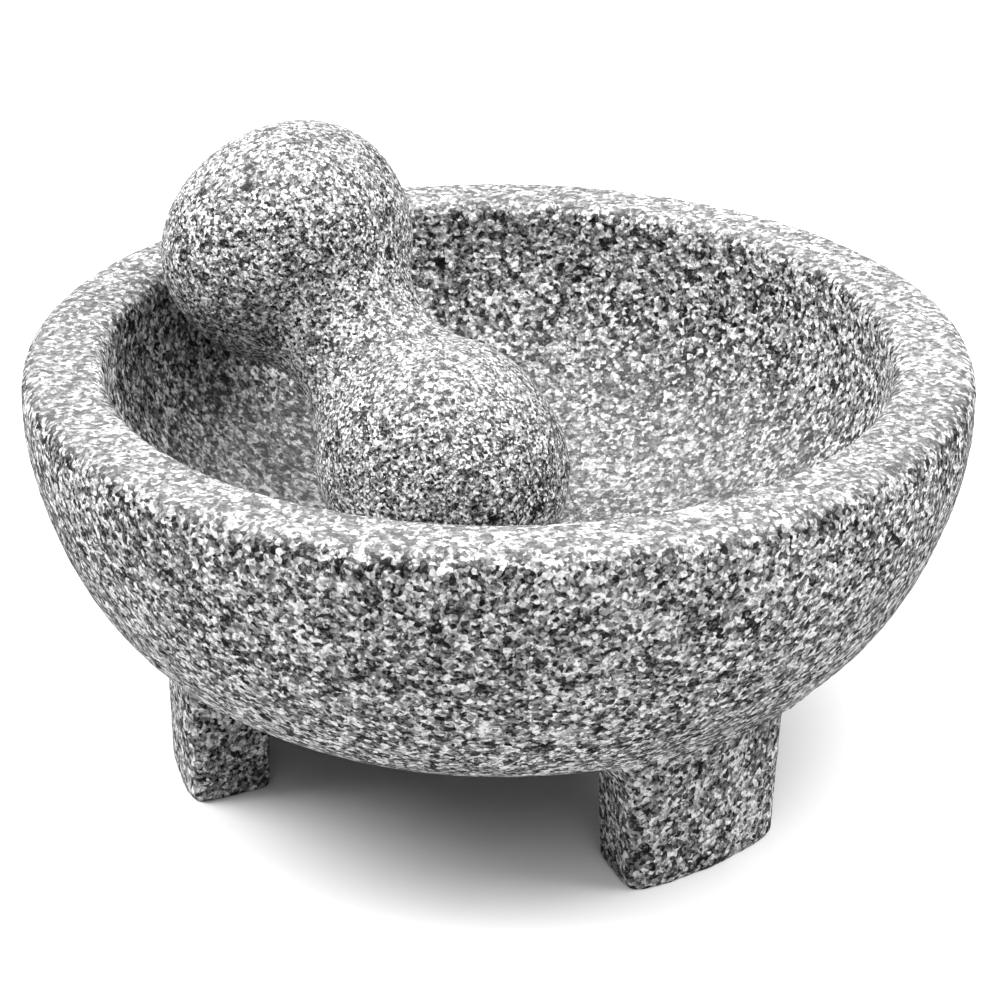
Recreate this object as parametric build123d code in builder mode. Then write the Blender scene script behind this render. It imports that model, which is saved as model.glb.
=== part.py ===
from build123d import *

import os
from math import atan2, cos, degrees, pi, sin, sqrt

# A molcajete: a three-legged stone mortar, and the tejolote, its loose stone pestle.
# Millimetres, +Z up. The origin is on the bowl's axis, at the level of the ground.
# The bowl and its legs are one carved block. The tejolote rests in the bowl: its lower
# bulb is on the bowl's floor, and its upper bulb leans on the edge of the mouth.

# ---------------------------------------------------------------- driving dimensions
bowl_radius = 101.5          # outside of the rim
bowl_height = 95.0           # ground to the top of the rim

rim_rounding = 5.0           # outer edge of the rim
lip_rounding = 4.5           # inner edge of the rim
mouth_radius = 82.7          # inside wall, just below the lip

turn_height = 83.7           # where the outer wall stops being upright
underside_radius = 48.4      # flat disc under the bowl
underside_height = 25.1
outer_side_power = 2.444     # the wall is a superellipse: 2 is an ellipse, more is squarer
outer_base_power = 1.576

well_floor_height = 38.8     # lowest point of the inside
well_side_power = 2.3
well_floor_power = 2.1

leg_outer_radius = 72.0      # at the ground
leg_inner_radius = 54.0
leg_half_angle = 16.5        # degrees each side of the leg's middle
leg_first_angle = -50.7      # degrees round +Z from +X
leg_count = 3
leg_top_height = 40.0        # inside the bowl's stone
leg_flare = 1.5              # degrees, wider towards the bowl
leg_corner_rounding = 4.0
foot_rounding = 2.0
leg_root_rounding = 4.0

lower_bulb_radius = 26.7     # both bulbs are measured across the tejolote's axis
upper_bulb_radius = 28.5
lower_bulb_straight = 4.0    # straight length at the lower bulb's widest part
upper_cap_height = 23.5      # the upper end is flatter than a half circle
upper_cap_power = 2.1
waist_radius = 16.4
waist_arc_radius = 19.0

tejolote_azimuth = 135.2     # degrees round +Z from +X, the way the tejolote leans
tejolote_tilt = 38.0         # degrees above level
lower_bulb_middle = (-13.2, 0.4, 68.45)

curve_steps = 8              # spans of each formula curve


def squircle(width, height, side_power, base_power):
    """Points of a quarter superellipse from (width, 0) to (0, -height)."""
    points = []
    for step in range(curve_steps + 1):
        turn = pi / 2 * step / curve_steps
        across = width * max(cos(turn), 0.0) ** (2 / side_power)
        down = height * sin(turn) ** (2 / base_power)
        points.append((across, -down))
    return points


os.makedirs("parts", exist_ok=True)

# ---------------------------------------------------------------- bowl with its legs
outer_wall = [
    (underside_radius + across, turn_height + down)
    for across, down in squircle(
        bowl_radius - underside_radius,
        turn_height - underside_height,
        outer_side_power,
        outer_base_power,
    )
]
inner_wall = [
    (across, bowl_height - lip_rounding + down)
    for across, down in squircle(
        mouth_radius,
        bowl_height - lip_rounding - well_floor_height,
        well_side_power,
        well_floor_power,
    )
]

with BuildPart() as leg:  # one leg, along +X, its top buried in the bowl's stone
    with BuildSketch():
        with BuildLine():
            CenterArc((0, 0), leg_outer_radius, -leg_half_angle, 2 * leg_half_angle)
            CenterArc((0, 0), leg_inner_radius, -leg_half_angle, 2 * leg_half_angle)
            for side in (-leg_half_angle, leg_half_angle):
                outward = Vector(1, 0).rotate(Axis.Z, side)
                Line(outward * leg_inner_radius, outward * leg_outer_radius)
        make_face()
    extrude(amount=leg_top_height, taper=-leg_flare)
    leg_corners = leg.edges().filter_by(lambda edge: edge.bounding_box().size.Z > leg_top_height / 2)
    fillet(leg_corners, leg_corner_rounding)
    fillet(leg.faces().sort_by(Axis.Z)[0].edges(), foot_rounding)

with BuildPart() as bowl:
    with BuildSketch(Plane.XZ):
        with BuildLine():
            Line((0, underside_height), (underside_radius, underside_height))
            Spline(*reversed(outer_wall), tangents=[(1, 0), (0, 1)])
            Line((bowl_radius, turn_height), (bowl_radius, bowl_height - rim_rounding))
            RadiusArc(
                (bowl_radius, bowl_height - rim_rounding),
                (bowl_radius - rim_rounding, bowl_height),
                -rim_rounding,
            )
            Line((bowl_radius - rim_rounding, bowl_height), (mouth_radius + lip_rounding, bowl_height))
            RadiusArc(
                (mouth_radius + lip_rounding, bowl_height),
                (mouth_radius, bowl_height - lip_rounding),
                -lip_rounding,
            )
            Spline(*inner_wall, tangents=[(0, -1), (-1, 0)])
            Line((0, well_floor_height), (0, underside_height))
        make_face()
    revolve(axis=Axis.Z)

    with PolarLocations(0, leg_count, start_angle=leg_first_angle):
        add(leg.part)
    leg_roots = bowl.edges(Select.LAST).filter_by(
        lambda edge: edge.bounding_box().min.Z > underside_height / 2
    )
    fillet(leg_roots, leg_root_rounding)

bowl.part.label = "bowl"
export_step(bowl.part, "parts/bowl.step")

# ---------------------------------------------------------------- tejolote
lean = Vector(1, 0).rotate(Axis.Y, -tejolote_tilt).rotate(Axis.Z, tejolote_azimuth)
across = Vector(0, 0, 1).cross(lean).normalized()
lengthways = Plane(origin=lower_bulb_middle, x_dir=across, z_dir=across.cross(lean))

# One arc makes the waist, and it touches the arcs of both bulbs.
waist_across = waist_radius + waist_arc_radius
waist_along = sqrt((lower_bulb_radius + waist_arc_radius) ** 2 - waist_across**2)
upper_along = waist_along + sqrt((upper_bulb_radius + waist_arc_radius) ** 2 - waist_across**2)
lower_touch = degrees(atan2(waist_along, waist_across))
upper_touch = degrees(atan2(upper_along - waist_along, waist_across))
upper_cap = [
    (out, upper_along - down)
    for out, down in squircle(
        upper_bulb_radius, upper_cap_height, upper_cap_power, upper_cap_power
    )
]

with BuildPart() as tejolote:
    with BuildSketch(lengthways):  # Y is the tejolote's axis, from the lower bulb up
        with BuildLine():
            CenterArc((0, -lower_bulb_straight), lower_bulb_radius, -90, 90)
            Line((lower_bulb_radius, -lower_bulb_straight), (lower_bulb_radius, 0))
            CenterArc((0, 0), lower_bulb_radius, 0, lower_touch)
            CenterArc(
                (waist_across, waist_along),
                waist_arc_radius,
                180 + lower_touch,
                -lower_touch - upper_touch,
            )
            CenterArc((0, upper_along), upper_bulb_radius, -upper_touch, upper_touch)
            Spline(*upper_cap, tangents=[(0, 1), (-1, 0)])
            Line((0, upper_along + upper_cap_height), (0, -lower_bulb_straight - lower_bulb_radius))
        make_face()
    revolve(axis=Axis(lower_bulb_middle, lean))

tejolote.part.label = "tejolote"
export_step(tejolote.part, "parts/tejolote.step")
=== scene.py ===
# %% [markdown]
# # A granite molcajete and its tejolote
#
# A molcajete is a mortar on three legs, carved from one block of stone. Its pestle, the
# tejolote, is a loose stone with two round ends. This lesson gives both stones their
# final shape and finish around a measured model that is already in place.
#
# The order is: load the measured model, set the camera, the floor and the light, write the
# rules that turn and hammer a stone, draw the bowl's outline and its legs, mix the granite,
# and then make the bowl and the tejolote.

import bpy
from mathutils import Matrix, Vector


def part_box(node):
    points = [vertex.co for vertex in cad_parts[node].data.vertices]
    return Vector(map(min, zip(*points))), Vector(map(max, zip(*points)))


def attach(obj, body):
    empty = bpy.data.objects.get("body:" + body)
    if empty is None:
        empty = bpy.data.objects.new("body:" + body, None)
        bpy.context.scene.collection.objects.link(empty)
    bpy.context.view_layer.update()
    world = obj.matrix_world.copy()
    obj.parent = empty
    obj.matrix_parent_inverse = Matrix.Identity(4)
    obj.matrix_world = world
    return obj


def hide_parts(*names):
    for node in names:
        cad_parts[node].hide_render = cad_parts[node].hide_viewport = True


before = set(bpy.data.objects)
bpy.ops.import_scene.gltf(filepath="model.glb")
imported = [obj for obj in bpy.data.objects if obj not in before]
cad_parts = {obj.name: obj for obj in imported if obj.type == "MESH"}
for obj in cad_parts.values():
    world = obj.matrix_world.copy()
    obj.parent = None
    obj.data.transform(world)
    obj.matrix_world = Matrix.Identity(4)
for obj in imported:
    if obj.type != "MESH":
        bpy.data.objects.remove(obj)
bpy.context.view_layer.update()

# %% [markdown]
# ## What the lesson needs from Python
#
# The shapes come from short formulas, so the sines and roots are at hand. Everything is in
# metres, and one millimetre has a name, because a stone's edges are thought of in it.

# %% Tools and units
from math import atan2, cos, degrees, pi, radians, sin, sqrt, tan

import bmesh
import bpy
import numpy as np
from mathutils import Matrix, Vector

MM = 0.001
scene = bpy.context.scene


def new_object(name, mesh):
    """An object at the origin, in the scene, holding the mesh."""
    thing = bpy.data.objects.new(name, mesh)
    scene.collection.objects.link(thing)
    return thing


# %% [markdown]
# ## Camera
#
# A long lens looks down on the bowl at about 26 degrees, as a person standing at the table
# sees it: the whole rim, most of the inside and two of the legs. It stands on the front
# side, -Y, and is aimed at the bowl's axis, a little above half of its height.

# %% Camera
low, high = (Vector(corner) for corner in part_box("bowl"))
bowl_radius = (high.x - low.x) / 2
bowl_height = high.z

lens_length = 132.0
sensor_width = 36.0
camera_distance = 7.047 * bowl_radius
camera_above_rim = 3.028 * bowl_radius
aim_to_right = 0.0037 * bowl_radius
aim_below_rim = 0.3616 * bowl_radius
camera_roll = radians(0.24)

camera_data = bpy.data.cameras.new("table view")
camera_data.lens = lens_length
camera_data.sensor_width = sensor_width
camera = bpy.data.objects.new("table view", camera_data)
scene.collection.objects.link(camera)
camera.location = (0, -camera_distance, bowl_height + camera_above_rim)
aim = Vector((aim_to_right, 0, bowl_height - aim_below_rim))
camera.rotation_mode = "QUATERNION"
turn = (aim - camera.location).to_track_quat("-Z", "Y")
camera.rotation_quaternion = turn @ Matrix.Rotation(camera_roll, 3, "Z").to_quaternion()
scene.camera = camera
print("bowl radius", round(bowl_radius, 4), "height", round(bowl_height, 4))

# %% [markdown]
# ## Floor and light
#
# The floor is one wide, pale, matt plane. Nearly all of the light comes from three large
# soft panels overhead, so the top of the rim is the brightest stone, the wall is in half
# shade, and the shade is deep under the bowl. Two weak panels at the sides open the shade a
# little, and the floor throws light back up on the wall.

# %% Floor
floor_grey = 0.66
floor_half = 4.0
matt_roughness = 0.9
matt_specular = 0.1

floor_material = bpy.data.materials.new("pale floor")
floor_material.use_nodes = True
floor_shader = floor_material.node_tree.nodes["Principled BSDF"]
floor_shader.inputs["Base Color"].default_value = (floor_grey, floor_grey, floor_grey, 1)
floor_shader.inputs["Roughness"].default_value = matt_roughness
floor_shader.inputs["Specular IOR Level"].default_value = matt_specular

floor_mesh = bpy.data.meshes.new("floor")
sides = ((-1, -1), (1, -1), (1, 1), (-1, 1))
corners = [(x * floor_half, y * floor_half, 0) for x, y in sides]
floor_mesh.from_pydata(corners, [], [(0, 1, 2, 3)])
floor_mesh.materials.append(floor_material)
floor = new_object("floor", floor_mesh)
print("floor", 2 * floor_half, "m wide")

# %% Light
world_strength = 0.03
bowl_middle = Vector((0, 0, 0.6 * bowl_height))

world = bpy.data.worlds.new("studio")
world.use_nodes = True
background = world.node_tree.nodes["Background"]
background.inputs["Color"].default_value = (1, 1, 1, 1)
background.inputs["Strength"].default_value = world_strength
scene.world = world
scene.view_settings.view_transform = "Standard"


def softbox(name, place, size, watts):
    """A square panel of light, turned to the bowl."""
    panel_data = bpy.data.lights.new(name, "AREA")
    panel_data.shape = "SQUARE"
    panel_data.size = size
    panel_data.energy = watts
    panel = bpy.data.objects.new(name, panel_data)
    panel.location = place
    to_bowl = bowl_middle - panel.location
    panel.rotation_euler = to_bowl.to_track_quat("-Z", "Y").to_euler()
    scene.collection.objects.link(panel)
    print(name, size, "m wide,", watts, "W")


softbox("overhead left", (-0.9, 0.1, 1.2), 1.2, 52)
softbox("overhead right", (0.9, 0.1, 1.2), 1.2, 42)
softbox("overhead front", (0, -0.9, 1.3), 1.2, 18)
softbox("side left", (-1.5, -0.1, 0.7), 1.2, 2)
softbox("side right", (1.5, 0.3, 0.3), 0.7, 2)

# %% [markdown]
# ## A turned stone, as a rule
#
# Apart from the legs, both stones are round about an axis, so one rule makes them: take the
# outline, which is half of the section through the axis, and roll it round. In Geometry
# Nodes that is a grid. Its columns go round the axis and its rows go along the outline. Each
# point of the grid asks the outline where it is at that row, and turns that place round by
# its column. Points that fall together, at the poles and the seam, are then merged.
#
# A Geometry Nodes tree is a chain of nodes, so a few small helpers make nodes and join them.

# %% Helpers for node trees
def node_maker(tree):
    """A function that adds a node to the tree and fills its inputs.

    An input goes by its name, or by an underscore and its number. A value that is another
    node's socket is linked, and any other value is set.
    """
    def make(kind, settings=None, **inputs):
        node = tree.nodes.new(kind)
        for name, value in (settings or {}).items():
            setattr(node, name, value)
        for name, value in inputs.items():
            by_number = name[0] == "_" and name[1:].isdigit()
            key = int(name[1:]) if by_number else name.replace("_", " ")
            if isinstance(value, bpy.types.NodeSocket):
                tree.links.new(value, node.inputs[key])
            else:
                node.inputs[key].default_value = value
        return node
    return make


def maths(make, operation, first, second=0.0, third=None):
    """A Math node's result."""
    inputs = {"_0": first, "_1": second}
    if third is not None:
        inputs["_2"] = third
    return make("ShaderNodeMath", {"operation": operation}, **inputs).outputs[0]


def new_geometry_tree(name, inputs):
    """A Geometry Nodes tree with named inputs: (name, socket type, default).

    It comes with its group input node and its group output node.
    """
    tree = bpy.data.node_groups.new(name, "GeometryNodeTree")
    tree.is_modifier = True
    tree.interface.new_socket("Geometry", in_out="INPUT", socket_type="NodeSocketGeometry")
    tree.interface.new_socket("Geometry", in_out="OUTPUT", socket_type="NodeSocketGeometry")
    for label, kind, default in inputs:
        socket = tree.interface.new_socket(label, in_out="INPUT", socket_type=kind)
        if default is not None:
            socket.default_value = default
    return tree, tree.nodes.new("NodeGroupInput"), tree.nodes.new("NodeGroupOutput")


def add_tree(thing, tree, **values):
    """Puts the tree on an object as a modifier, with its inputs set by identifier."""
    modifier = thing.modifiers.new(tree.name, "NODES")
    modifier.node_group = tree
    for socket in tree.interface.items_tree:
        key = socket.name.lower().replace(" ", "_")
        if socket.item_type == "SOCKET" and socket.in_out == "INPUT" and key in values:
            modifier[socket.identifier] = values[key]
    return modifier


# %% The turning rule
merge_distance = 1e-6

turned_tree, group_in, group_out = new_geometry_tree("Turned stone", [
    ("Columns round", "NodeSocketInt", 256),
    ("Rows along", "NodeSocketInt", 200),
    ("Axis foot", "NodeSocketVector", None),
    ("Axis turn", "NodeSocketRotation", None),
])
make = node_maker(turned_tree)
outline_curve = make("GeometryNodeMeshToCurve", Mesh=group_in.outputs["Geometry"])
grid = make(
    "GeometryNodeMeshGrid",
    Size_X=1.0,
    Size_Y=1.0,
    Vertices_X=group_in.outputs["Columns round"],
    Vertices_Y=group_in.outputs["Rows along"],
)
place = make("ShaderNodeSeparateXYZ", Vector=make("GeometryNodeInputPosition").outputs[0])
column_angle = maths(make, "MULTIPLY", maths(make, "ADD", place.outputs["X"], 0.5), 2 * pi)
row_share = maths(make, "ADD", place.outputs["Y"], 0.5)
on_outline = make(
    "GeometryNodeSampleCurve",
    {"mode": "FACTOR", "use_all_curves": True},
    Curves=outline_curve.outputs[0],
    Factor=row_share,
)
section = make("ShaderNodeSeparateXYZ", Vector=on_outline.outputs["Position"])
rolled = make(
    "ShaderNodeCombineXYZ",
    X=maths(make, "MULTIPLY", section.outputs["X"], maths(make, "COSINE", column_angle)),
    Y=maths(make, "MULTIPLY", section.outputs["X"], maths(make, "SINE", column_angle)),
    Z=section.outputs["Z"],
)
leaning = make(
    "FunctionNodeRotateVector",
    Vector=rolled.outputs[0],
    Rotation=group_in.outputs["Axis turn"],
)
standing = make(
    "ShaderNodeVectorMath",
    {"operation": "ADD"},
    _0=leaning.outputs[0],
    _1=group_in.outputs["Axis foot"],
)
rolled_grid = make(
    "GeometryNodeSetPosition", Geometry=grid.outputs["Mesh"], Position=standing.outputs[0]
)
closed = make(
    "GeometryNodeMergeByDistance", Geometry=rolled_grid.outputs[0], Distance=merge_distance
)
turned_tree.links.new(closed.outputs[0], group_out.inputs[0])
print("tree", turned_tree.name, "with", len(turned_tree.nodes), "nodes")

# %% [markdown]
# ## The mason's marks, as a rule
#
# The stone is shaped with a bush hammer and rubbed down, which leaves three things: a slow
# unevenness of the whole form, shallow dents a few millimetres across, and a fine pitting.
# The first two are big enough to be real shape. Every mark is cut inwards, as on stone, so
# the finished piece isn't bigger than the measured one. What faces up, such as the top of
# the rim, is made a little paler: partly rubbed wear, partly a painted highlight where the
# light from above falls. The rule writes that down as a number at every point, for the granite to
# read.

# %% The hammering rule
sway_detail = 1.0
dent_detail = 3.0
dent_seed_shift = 7.0
# How far up a face must turn before it goes paler, which is partly wear and partly painted
# highlight.
paling_starts = 0.4
paling_is_full = 1.0

hammer_tree, group_in, group_out = new_geometry_tree("Hammered stone", [
    ("Sway depth", "NodeSocketFloat", 0.6 * MM),
    ("Sway size", "NodeSocketFloat", 45 * MM),
    ("Dent depth", "NodeSocketFloat", 0.35 * MM),
    ("Dent size", "NodeSocketFloat", 4 * MM),
    ("Wear", "NodeSocketFloat", 0.0),
    ("Seed", "NodeSocketFloat", 1.0),
    ("Stone", "NodeSocketMaterial", None),
])
make = node_maker(hammer_tree)


def noise_share(size_socket, detail, seed_shift):
    """Noise from about 0 to 1, with marks of the given size."""
    scale = maths(make, "DIVIDE", 1.0, size_socket)
    noise = make(
        "ShaderNodeTexNoise",
        {"noise_dimensions": "4D"},
        W=maths(make, "ADD", group_in.outputs["Seed"], seed_shift),
        Scale=scale,
        Detail=detail,
    )
    return noise.outputs[0]


sway_share = noise_share(group_in.outputs["Sway size"], sway_detail, 0.0)
sway = maths(make, "MULTIPLY", sway_share, group_in.outputs["Sway depth"])
dent_share = noise_share(group_in.outputs["Dent size"], dent_detail, dent_seed_shift)
dents = maths(make, "MULTIPLY", dent_share, group_in.outputs["Dent depth"])
cut = maths(make, "MULTIPLY", maths(make, "ADD", sway, dents), -1.0)
inwards = make(
    "ShaderNodeVectorMath",
    {"operation": "SCALE"},
    _0=make("GeometryNodeInputNormal").outputs[0],
    Scale=cut,
)
hammered = make(
    "GeometryNodeSetPosition", Geometry=group_in.outputs["Geometry"], Offset=inwards.outputs[0]
)

# The paler share of up-facing stone is partly rubbed wear, partly a painted highlight where the
# light from above falls.
facing = make("ShaderNodeSeparateXYZ", Vector=make("GeometryNodeInputNormal").outputs[0])
facing_up = make(
    "ShaderNodeMapRange",
    {"interpolation_type": "SMOOTHSTEP"},
    _0=facing.outputs["Z"],
    _1=paling_starts,
    _2=paling_is_full,
)
worn = make(
    "GeometryNodeStoreNamedAttribute",
    {"data_type": "FLOAT", "domain": "POINT"},
    Geometry=hammered.outputs[0],
    Name="worn",
    Value=maths(make, "MULTIPLY", facing_up.outputs[0], group_in.outputs["Wear"]),
)
smooth = make("GeometryNodeSetShadeSmooth", Geometry=worn.outputs[0])
single = make("GeometryNodeRealizeInstances", Geometry=smooth.outputs[0])
finished = make(
    "GeometryNodeSetMaterial", Geometry=single.outputs[0], Material=group_in.outputs["Stone"]
)
hammer_tree.links.new(finished.outputs[0], group_out.inputs[0])
print("tree", hammer_tree.name, "with", len(hammer_tree.nodes), "nodes")

# %% [markdown]
# ## The bowl's outline
#
# Half of the section runs from the middle of the underside, out and up the wall, over the
# rim, and down the inside to the middle of the floor. The wall is a superellipse: near the
# rim it is nearly upright, and lower down it turns under in one even sweep. The inside is
# another. The rim is a band with a soft outer edge and a soft lip into the mouth.

# %% Outline of the bowl
underside_radius = 0.477 * bowl_radius
underside_height = 0.264 * bowl_height
turn_height = 0.881 * bowl_height
outer_side_power = 2.444
outer_base_power = 1.576
rim_rounding = 0.049 * bowl_radius
mouth_radius = 0.815 * bowl_radius
lip_rounding = 0.044 * bowl_radius
well_floor_height = 0.408 * bowl_height
well_side_power = 2.3
well_floor_power = 2.1


def squircle(width, height, side_power, base_power, steps=48):
    """A quarter superellipse from (width, 0) to (0, -height)."""
    turns = [pi / 2 * step / steps for step in range(steps + 1)]
    return [
        (width * max(cos(t), 0.0) ** (2 / side_power), -height * sin(t) ** (2 / base_power))
        for t in turns
    ]


def arc(centre, radius, start, end, steps=12):
    """Points on a circle, with its angles in degrees."""
    angles = [radians(start + (end - start) * step / steps) for step in range(steps + 1)]
    return [(centre[0] + radius * cos(a), centre[1] + radius * sin(a)) for a in angles]


outer_wall = [
    (underside_radius + across, turn_height + down)
    for across, down in squircle(
        bowl_radius - underside_radius,
        turn_height - underside_height,
        outer_side_power,
        outer_base_power,
    )
]
well = [
    (across, bowl_height - lip_rounding + down)
    for across, down in squircle(
        mouth_radius,
        bowl_height - lip_rounding - well_floor_height,
        well_side_power,
        well_floor_power,
    )
]
rim_outside = arc((bowl_radius - rim_rounding, bowl_height - rim_rounding), rim_rounding, 0, 90)
rim_inside = arc((mouth_radius + lip_rounding, bowl_height - lip_rounding), lip_rounding, 90, 180)
bowl_outline = [(0, underside_height), *reversed(outer_wall), *rim_outside, *rim_inside, *well]
print("outline of", len(bowl_outline), "points, floor of the well at", round(well_floor_height, 4))


def outline_object(name, outline):
    """The outline as a chain of edges, across on X and up on Z, ready to be turned."""
    mesh = bpy.data.meshes.new(name)
    points = [(max(across, 0.0), 0, up) for across, up in outline]
    links = [(number, number + 1) for number in range(len(points) - 1)]
    mesh.from_pydata(points, links, [])
    return new_object(name, mesh)


# %% [markdown]
# ## The legs
#
# The legs aren't added on: the block is cut away between them. Each is a short piece of a
# ring, so its outside and inside faces are round about the bowl's axis and its sides point
# at it. One leg is built as a stack of rounded loops. The loops draw in at the sole, where
# the edge is worn, and spread at the root, where the leg runs out into the bowl. The stack
# starts a little below the floor and a little too wide, because the finishing steps take
# some stone off again.

# %% One leg
leg_outer = 0.7094 * bowl_radius
leg_inner = 0.532 * bowl_radius
leg_half_angle = radians(16.5)
leg_top = 0.42 * bowl_height
leg_flare = tan(radians(1.5))
sole_rounding = 0.02 * bowl_radius
below_floor = 1.2 * MM
finish_allowance = 0.007 * bowl_radius
root_rounding = 0.05 * bowl_radius
loop_power = 9.0
loop_points = 96
loop_levels = 60
level_crowding = 1.3


def wall_height(across):
    """How high the outside of the bowl is at a distance from the axis."""
    reach = max(across - underside_radius, 0.0) / (bowl_radius - underside_radius)
    fall = sqrt(max(1 - min(reach, 1.0) ** outer_side_power, 0.0))
    return turn_height - (turn_height - underside_height) * fall ** (2 / outer_base_power)


def signed_power(value, power):
    """A power that keeps the sign of what it is given."""
    return abs(value) ** power * (1 if value >= 0 else -1)


def leg_loop(level):
    """One loop of the leg, along +X, at a height."""
    middle = (leg_outer + leg_inner) / 2
    half_depth = (leg_outer - leg_inner) / 2
    half_width = leg_half_angle * middle
    near_sole = max(sole_rounding - level - below_floor, 0.0)
    drawn_in = sole_rounding - sqrt(max(sole_rounding**2 - near_sole**2, 0.0))
    loop = []
    for number in range(loop_points):
        turn = 2 * pi * number / loop_points
        depth = signed_power(cos(turn), 2 / loop_power)
        width = signed_power(sin(turn), 2 / loop_power)
        root_across = middle + half_depth * depth + root_rounding * max(depth, 0.0)
        into_root = level - wall_height(root_across) + root_rounding
        into_root = min(max(into_root, 0.0), root_rounding)
        spread = root_rounding - sqrt(root_rounding**2 - into_root**2)
        grown = level * leg_flare + spread - drawn_in + finish_allowance
        across = middle + depth * (half_depth + grown)
        angle = width * (half_width + grown) / middle
        loop.append((across * cos(angle), across * sin(angle), level))
    return loop


def stacked(name, loops):
    """A closed mesh through the loops, with a face at each end."""
    shape = bmesh.new()
    rings = [[shape.verts.new(point) for point in loop] for loop in loops]
    count = len(rings[0])
    for below, above in zip(rings, rings[1:]):
        for here in range(count):
            after = (here + 1) % count
            shape.faces.new((below[here], below[after], above[after], above[here]))
    shape.faces.new(list(reversed(rings[0])))
    shape.faces.new(rings[-1])
    mesh = bpy.data.meshes.new(name)
    shape.to_mesh(mesh)
    shape.free()
    return mesh


leg_levels = [
    (leg_top + below_floor) * (step / loop_levels) ** level_crowding - below_floor
    for step in range(loop_levels + 1)
]
leg = new_object("one leg", stacked("one leg", [leg_loop(level) for level in leg_levels]))
print("leg of", len(leg.data.vertices), "points")

# %% [markdown]
# Three legs stand evenly round the axis, so Geometry Nodes place them: three points on the
# axis, a leg on each, every leg turned to its own direction, and then all of it made real.

# %% The ring of legs
legs_tree, group_in, group_out = new_geometry_tree("Ring of legs", [
    ("Leg", "NodeSocketObject", None),
    ("Legs", "NodeSocketInt", 3),
    ("First leg", "NodeSocketFloat", 0.0),
])
make = node_maker(legs_tree)
legs_tree.interface.items_tree["First leg"].subtype = "ANGLE"
one_leg = make("GeometryNodeObjectInfo", Object=group_in.outputs["Leg"])
spots = make(
    "GeometryNodePoints", Count=group_in.outputs["Legs"], Position=(0, 0, 0), Radius=MM
)
step_angle = maths(make, "DIVIDE", 2 * pi, group_in.outputs["Legs"])
leg_number = make("GeometryNodeInputIndex").outputs[0]
leg_angle = maths(make, "MULTIPLY_ADD", leg_number, step_angle, group_in.outputs["First leg"])
turned_leg = make("ShaderNodeCombineXYZ", Z=leg_angle)
ring = make(
    "GeometryNodeInstanceOnPoints",
    Points=spots.outputs[0],
    Instance=one_leg.outputs["Geometry"],
    Rotation=turned_leg.outputs[0],
)
real_legs = make("GeometryNodeRealizeInstances", Geometry=ring.outputs[0])
joined = make("GeometryNodeJoinGeometry")
for part in (group_in.outputs["Geometry"], real_legs.outputs[0]):
    legs_tree.links.new(part, joined.inputs[0])
legs_tree.links.new(joined.outputs[0], group_out.inputs[0])
print("tree", legs_tree.name, "with", len(legs_tree.nodes), "nodes")

# %% [markdown]
# ## Granite
#
# Granite is a packed mass of crystals of a few kinds: white and pale grey feldspar, glassy
# grey quartz and black mica. Each crystal is one tone. A Voronoi texture fills space with
# cells and gives each its own number, which is just that. Two sizes of crystal are mixed,
# noise frays the cells' edges, and slower noises gather the dark ones in loose clusters and
# faint patches, with a dark spot here and there. A ramp turns the number into a grey, from
# nearly black mica to white feldspar. Stone that faces up is mixed towards one even, paler
# grey: partly rubbed wear, partly a painted highlight from the light above.
#
# The hammer breaks crystals out and leaves fine pits between them. They are too small for
# the mesh, so they are a bump. It is what makes the upright wall, which the light from
# above only grazes, so much rougher to the eye than the top of the rim.

# %% The granite recipe
# The even, paler grey of up-facing stone: partly rubbed wear, partly a painted highlight.
wear_and_highlight_grey = 0.42
large_crystal_share = 0.6
small_crystal_share = 0.4
small_crystal_size = 0.6
fray_size = 1.4
cluster_size = 4.5
cluster_share = 0.3
patch_size = 35 * MM
patch_share = 0.2
spot_spacing = 9 * MM
spot_core = 0.08
spot_edge = 0.2
spot_darkness = 0.3
pit_size = 1.5
crystal_height = 0.4
granite_greys = [(0.33, 0.003), (0.5, 0.022), (0.72, 0.14), (0.9, 0.34), (1.1, 0.72)]


def grey_ramp(make, tone, stops):
    """A colour from a number, by (number, grey) stops. The ramp itself runs from 0 to 1."""
    first_stop, last_stop = stops[0][0], stops[-1][0]
    share = make("ShaderNodeMapRange", _0=tone, _1=first_stop, _2=last_stop).outputs[0]
    ramp = make("ShaderNodeValToRGB", _0=share)
    elements = ramp.color_ramp.elements
    while len(elements) < len(stops):
        elements.new(0.5)
    for element, (number, grey) in zip(elements, stops):
        element.position = (number - first_stop) / (last_stop - first_stop)
        element.color = (grey, grey, grey, 1)
    return ramp.outputs[0]


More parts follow.
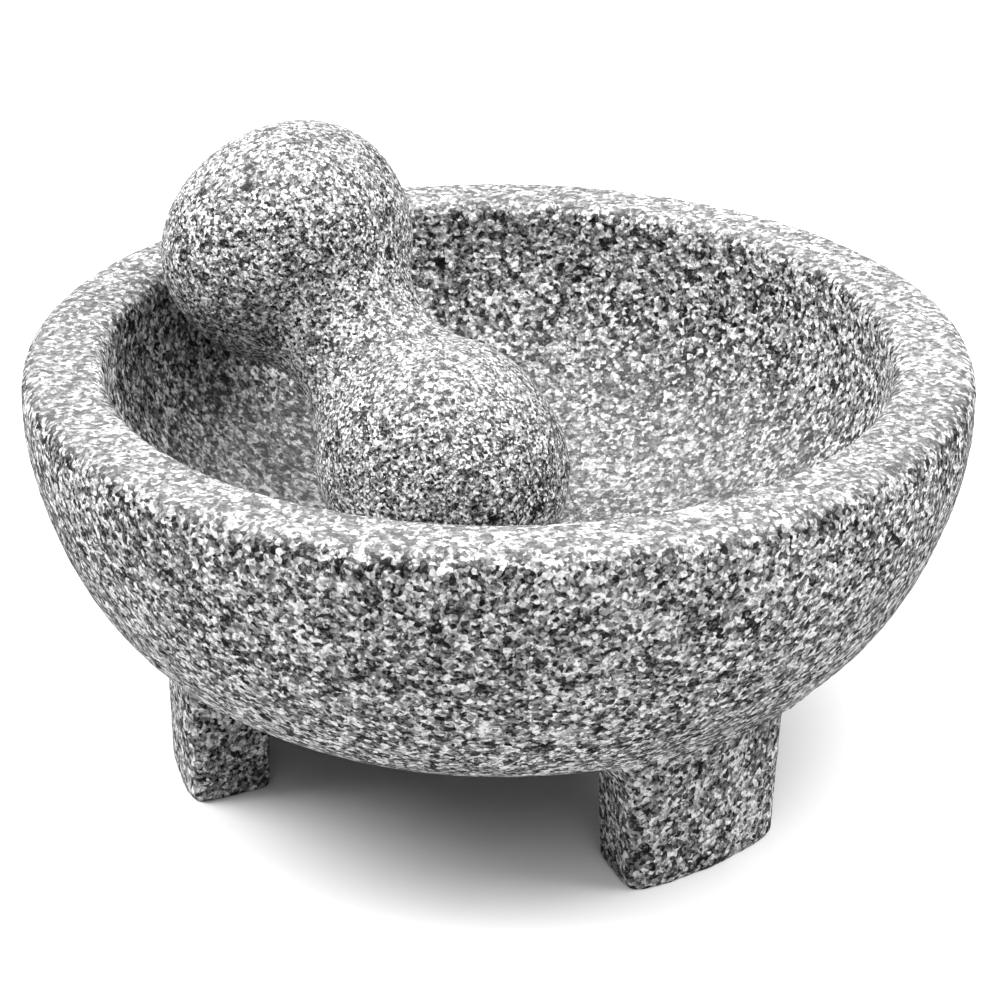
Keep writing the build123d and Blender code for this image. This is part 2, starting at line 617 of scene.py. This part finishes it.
def granite(name, grain_size, seed, relief, brightness):
    """A granite with crystals of a size in metres, and pits as deep as the relief.

    The fraying, the small crystals, the clusters and the pits are sized in grains.
    """
    material = bpy.data.materials.new(name)
    material.use_nodes = True
    tree = material.node_tree
    make = node_maker(tree)
    shader = tree.nodes["Principled BSDF"]
    shader.inputs["Roughness"].default_value = matt_roughness
    shader.inputs["Specular IOR Level"].default_value = matt_specular

    def noise(place, size, detail):
        return make("ShaderNodeTexNoise", Vector=place, Scale=1 / size, Detail=detail)

    def vector_maths(operation, first, **inputs):
        node = make("ShaderNodeVectorMath", {"operation": operation}, _0=first, **inputs)
        return node.outputs[0]

    own_place = make("ShaderNodeTexCoord").outputs["Object"]
    place = vector_maths("ADD", own_place, _1=(seed, 0.7 * seed, 1.3 * seed))
    wander = noise(place, fray_size * grain_size, 2.0).outputs["Color"]
    wander = vector_maths("SUBTRACT", wander, _1=(0.5, 0.5, 0.5))
    wander = vector_maths("SCALE", wander, Scale=grain_size)
    frayed_place = vector_maths("ADD", place, _1=wander)

    def crystals(size):
        cells = make("ShaderNodeTexVoronoi", Vector=frayed_place, Scale=1 / size)
        return make("ShaderNodeSeparateColor", Color=cells.outputs["Color"]).outputs[0]

    small_tone = crystals(small_crystal_size * grain_size)
    clusters = noise(place, cluster_size * grain_size, 2.0).outputs[0]
    patches = noise(place, patch_size, 1.0).outputs[0]
    tone = maths(make, "MULTIPLY", crystals(grain_size), large_crystal_share)
    tone = maths(make, "MULTIPLY_ADD", small_tone, small_crystal_share, tone)
    tone = maths(make, "MULTIPLY_ADD", clusters, cluster_share, tone)
    tone = maths(make, "MULTIPLY_ADD", patches, patch_share, tone)
    spots = make("ShaderNodeTexVoronoi", Vector=frayed_place, Scale=1 / spot_spacing)
    darkening = make(
        "ShaderNodeMapRange",
        _0=spots.outputs["Distance"],
        _1=spot_core,
        _2=spot_edge,
        _3=-spot_darkness,
        _4=0.0,
    )
    tone = maths(make, "ADD", tone, darkening.outputs[0])
    greys = [(number, grey * brightness) for number, grey in granite_greys]
    # Up-facing stone is mixed towards that paler grey: partly rubbed wear, partly a painted
    # highlight.
    worn = make("ShaderNodeAttribute", {"attribute_name": "worn"}).outputs["Fac"]
    wear_and_highlight_mix = make(
        "ShaderNodeMix",
        {"data_type": "RGBA"},
        _0=worn,
        _6=grey_ramp(make, tone, greys),
        _7=(wear_and_highlight_grey, wear_and_highlight_grey, wear_and_highlight_grey, 1),
    )
    tree.links.new(wear_and_highlight_mix.outputs[2], shader.inputs["Base Color"])

    pits = noise(place, pit_size * grain_size, 3.0).outputs[0]
    height = maths(make, "MULTIPLY_ADD", tone, crystal_height, pits)
    bump = make("ShaderNodeBump", Strength=1.0, Distance=relief, Height=height)
    tree.links.new(bump.outputs[0], shader.inputs["Normal"])
    return material


bowl_granite = granite(
    "bowl granite", grain_size=1.1 * MM, seed=0.0, relief=2.4 * MM, brightness=1.0
)
tejolote_granite = granite(
    "tejolote granite", grain_size=0.7 * MM, seed=0.31, relief=1.4 * MM, brightness=1.15
)
print("granites", bowl_granite.name, "and", tejolote_granite.name)

# %% [markdown]
# ## From rule to stone
#
# The turned bowl and its legs are separate closed forms that overlap. A voxel remesh makes
# one skin of them, in even squares, as the real thing is one stone. The skin is eased a
# little, and is fine enough for the hammer marks. The same skin goes round the tejolote. The
# finished mesh is then made plain, and the legs are sawn flat at the floor, so that the bowl
# stands on its soles.

# %% The finishing steps
def plain_copy(name, thing):
    """The object's evaluated shape as a plain mesh object."""
    graph = bpy.context.evaluated_depsgraph_get()
    mesh = bpy.data.meshes.new_from_object(thing.evaluated_get(graph))
    mesh.name = name
    return new_object(name, mesh)


def cut_at_floor(thing):
    """Saws off what is below the floor and closes the cuts with flat soles."""
    shape = bmesh.new()
    shape.from_mesh(thing.data)
    everything = [*shape.verts, *shape.edges, *shape.faces]
    sawn = bmesh.ops.bisect_plane(
        shape, geom=everything, plane_co=(0, 0, 0), plane_no=(0, 0, -1), clear_outer=True
    )
    rims = [part for part in sawn["geom_cut"] if isinstance(part, bmesh.types.BMEdge)]
    soles = bmesh.ops.holes_fill(shape, edges=rims)["faces"]
    bmesh.ops.triangulate(shape, faces=soles)
    bmesh.ops.recalc_face_normals(shape, faces=shape.faces)
    shape.to_mesh(thing.data)
    shape.free()
    print("soles cut from", len(soles), "loops")


def add_skin(thing, voxel):
    """One even skin round everything in the object."""
    skin = thing.modifiers.new("skin", "REMESH")
    skin.mode = "VOXEL"
    skin.voxel_size = voxel
    skin.use_smooth_shade = True
    ease = thing.modifiers.new("ease", "SMOOTH")
    ease.factor = 0.5
    ease.iterations = 3


# %% The bowl
first_leg_angle = radians(-50.7)
turned_bowl = outline_object("turned bowl", bowl_outline)
add_tree(turned_bowl, turned_tree, columns_round=256, rows_along=300, axis_foot=(0, 0, 0))
add_tree(turned_bowl, legs_tree, leg=leg, legs=3, first_leg=first_leg_angle)
add_skin(turned_bowl, voxel=1.3 * MM)
add_tree(
    turned_bowl,
    hammer_tree,
    sway_depth=0.6 * MM,
    sway_size=45 * MM,
    dent_depth=0.5 * MM,
    dent_size=3.5 * MM,
    # Up-facing bowl stone goes paler here: partly rubbed wear, partly a painted highlight.
    wear=0.24,
    seed=3.0,
    stone=bowl_granite,
)
bowl_stone = plain_copy("bowl_stone", turned_bowl)
cut_at_floor(bowl_stone)
print("bowl", len(bowl_stone.data.polygons), "faces")

# %% [markdown]
# ## The tejolote
#
# The pestle has two round ends and a waist for the fingers. The end that stands out of the
# bowl is a little wider than the other, and a little flattened. The measured model says how
# the tejolote leans: its longest direction, found from the spread of its surface, is the
# axis.

# %% How the tejolote leans
tejolote_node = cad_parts["tejolote"]
measured = tejolote_node.data
spots = np.array([face.center[:] for face in measured.polygons])
weights = np.array([face.area for face in measured.polygons])
middle = (spots * weights[:, None]).sum(0) / weights.sum()
spread = ((spots - middle) * weights[:, None]).T @ (spots - middle)
lean = Vector(np.linalg.eigh(spread)[1][:, -1])
lean = lean if lean.z > 0 else -lean
along = (np.array([vertex.co[:] for vertex in measured.vertices]) - middle) @ np.array(lean)
lower_end = Vector(middle) + lean * float(along.min())
tejolote_length = float(along.max() - along.min())
print("lean", [round(part, 4) for part in lean], "length", round(tejolote_length, 4))

# %% [markdown]
# The tejolote's outline is drawn from its lower end up, on its own axis. The lower end is an
# arc, a short straight run and an arc again. The upper end is an arc and then a flattened
# cap. The waist is one hollow arc that touches both ends without a corner, and where it
# touches them follows from the three radii.

# %% Outline of the tejolote
lower_radius = 0.2326 * tejolote_length
upper_radius = 0.2483 * tejolote_length
lower_straight = 0.0349 * tejolote_length
upper_cap_height = 0.2047 * tejolote_length
upper_cap_power = 2.1
waist_radius = 0.1429 * tejolote_length
waist_arc = 0.1655 * tejolote_length

lower_middle = lower_radius + lower_straight
waist_across = waist_radius + waist_arc
waist_middle = lower_middle + sqrt((lower_radius + waist_arc) ** 2 - waist_across**2)
upper_middle = waist_middle + sqrt((upper_radius + waist_arc) ** 2 - waist_across**2)
lower_touch = degrees(atan2(waist_middle - lower_middle, waist_across))
upper_touch = degrees(atan2(upper_middle - waist_middle, waist_across))

lower_cap = arc((0, lower_radius), lower_radius, -90, 0, steps=48)
lower_shoulder = arc((0, lower_middle), lower_radius, 0, lower_touch, steps=24)
waist = arc(
    (waist_across, waist_middle), waist_arc, 180 + lower_touch, 180 - upper_touch, steps=32
)
upper_shoulder = arc((0, upper_middle), upper_radius, -upper_touch, 0, steps=24)
upper_cap = [
    (across, upper_middle - down)
    for across, down in squircle(
        upper_radius, upper_cap_height, upper_cap_power, upper_cap_power
    )
]
tejolote_outline = [
    *lower_cap,
    *lower_shoulder,
    *waist[1:],
    *upper_shoulder[1:],
    *upper_cap[1:],
]
outline_top = tejolote_outline[-1][1]
print("outline of", len(tejolote_outline), "points, ending at", round(outline_top, 4))

# %% The tejolote
upright_to_lean = Vector((0, 0, 1)).rotation_difference(lean).to_euler()
turned_tejolote = outline_object("turned tejolote", tejolote_outline)
add_tree(
    turned_tejolote,
    turned_tree,
    columns_round=192,
    rows_along=240,
    axis_foot=lower_end,
    axis_turn=upright_to_lean,
)
add_skin(turned_tejolote, voxel=0.7 * MM)
add_tree(
    turned_tejolote,
    hammer_tree,
    sway_depth=0.6 * MM,
    sway_size=30 * MM,
    dent_depth=0.3 * MM,
    dent_size=3 * MM,
    # Up-facing tejolote stone goes paler here: partly rubbed wear, partly a painted highlight.
    wear=0.15,
    seed=11.0,
    stone=tejolote_granite,
)
tejolote_stone = plain_copy("tejolote_stone", turned_tejolote)
print("tejolote", len(tejolote_stone.data.polygons), "faces")

# %% [markdown]
# ## Which stone is which
#
# Each finished stone takes the place of its measured node, and moves with that node's body:
# the tejolote lifts out of the bowl, and the bowl stays where it is. The outlines and the
# one leg have done their work, so they go.

# %% Hand the stones over
for maker in (turned_bowl, turned_tejolote, leg):
    bpy.data.objects.remove(maker)
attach(bowl_stone, "bowl_body")
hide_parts("bowl")
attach(tejolote_stone, "tejolote_body")
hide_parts("tejolote")
print("handed over", bowl_stone.name, "and", tejolote_stone.name)
